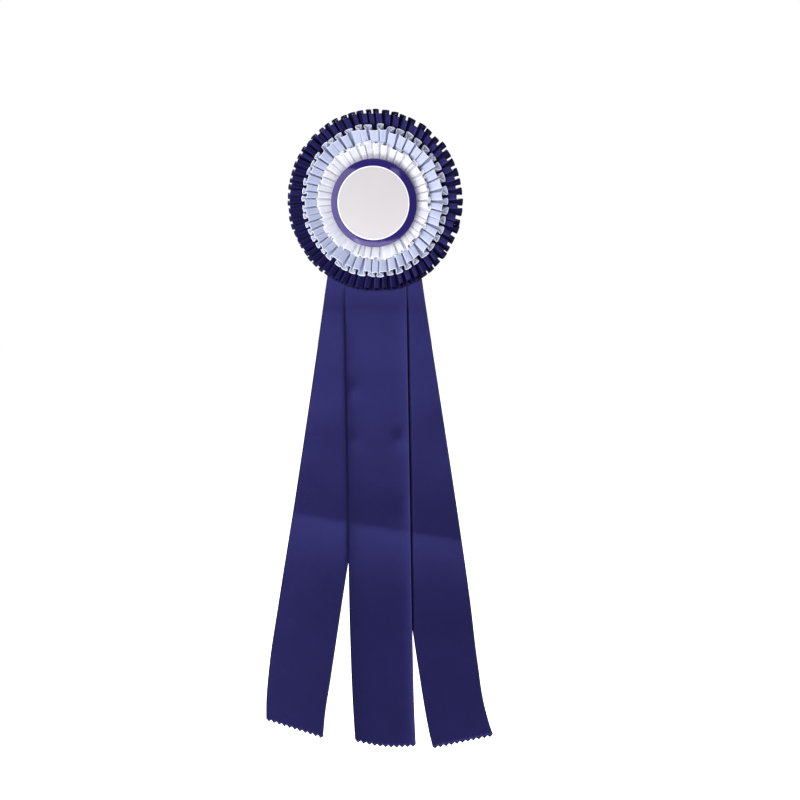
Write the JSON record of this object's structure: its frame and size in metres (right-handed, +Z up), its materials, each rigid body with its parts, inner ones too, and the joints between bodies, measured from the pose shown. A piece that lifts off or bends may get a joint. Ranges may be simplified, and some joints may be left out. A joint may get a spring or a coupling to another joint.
{
  "type": "award ribbon",
  "caption": "Award rosette with pleated ribbon ruffles round a blank button, long pinked ribbon tails and a bar brooch pin on the back to fasten it to cloth.",
  "frame": {"origin": "middle of the brooch needle's straight shaft, on the shaft's axis", "axes": "+Z up with the tails hanging down, +X along the needle towards its point (to the right as seen from the face), the face looks to -Y and the wearer is on the +Y side"},
  "size_m": [0.1917, 0.0196, 0.52],
  "materials": {
    "navy_satin": "satin ribbon with a soft sheen",
    "blue_ribbon": "pleated satin ribbon",
    "white_ribbon": "pleated satin ribbon",
    "thread": "polyester sewing thread",
    "card": "smooth white card",
    "navy_gloss": "high gloss",
    "white_plastic": "matte",
    "silver_face": "fine satin silver",
    "foam": "soft foam tape",
    "glue": "set hot-melt glue",
    "plated_steel": "nickel plated"
  },
  "bodies": {
    "rosette": {"pin_plate": "plated_steel", "pin_pivot": "plated_steel", "pin_catch": "plated_steel", "pin_rivets": "plated_steel", "back_card": "card", "front_card": "card", "card_glue_spots": "glue", "tail_left_head": "navy_satin", "tail_right_head": "navy_satin", "tail_centre_head": "navy_satin", "tail_staples": "plated_steel", "navy_ruffle": "navy_satin", "blue_ruffle": "blue_ribbon", "white_ruffle": "white_ribbon", "navy_ruffle_stitching": "thread", "blue_ruffle_stitching": "thread", "white_ruffle_stitching": "thread", "button_foam_pad": "foam", "button_back_plate": "white_plastic", "button_shell": "navy_gloss", "button_backing_disc": "white_plastic", "button_face_disc": "silver_face"},
    "needle": {"pin_needle": "plated_steel"},
    "collar": {"pin_collar": "plated_steel"},
    "left_tail": {"tail_left": "navy_satin"},
    "right_tail": {"tail_right": "navy_satin"},
    "centre_tail": {"tail_centre": "navy_satin"}
  },
  "joints": [
    {"name": "pin_needle_swing", "type": "hinge", "parent": "rosette", "child": "needle", "pos_m": [-0.0171, 0, 0], "axis": [0, 0, 1], "range_deg": [0, 100]},
    {"name": "pin_collar_turn", "type": "hinge", "parent": "rosette", "child": "collar", "pos_m": [0.0157, 0, 0], "axis": [1, 0, 0], "range_deg": [0, 110]},
    {"name": "centre_tail_swing", "type": "hinge", "parent": "rosette", "child": "centre_tail", "pos_m": [0.00127, -0.0063, -0.096], "axis": [-1, 0, 0], "range_deg": [0, 60]},
    {"name": "right_tail_swing", "type": "hinge", "parent": "rosette", "child": "right_tail", "pos_m": [0.01319, -0.0055, -0.096], "axis": [1, 0, 0], "range_deg": [0, 60]},
    {"name": "left_tail_swing", "type": "hinge", "parent": "rosette", "child": "left_tail", "pos_m": [-0.01592, -0.0047, -0.096], "axis": [1, 0, 0], "range_deg": [0, 60]}
  ],
  "couplings": [
    {"joint": "left_tail_swing", "follows": "right_tail_swing", "ratio": 1}
  ]
}
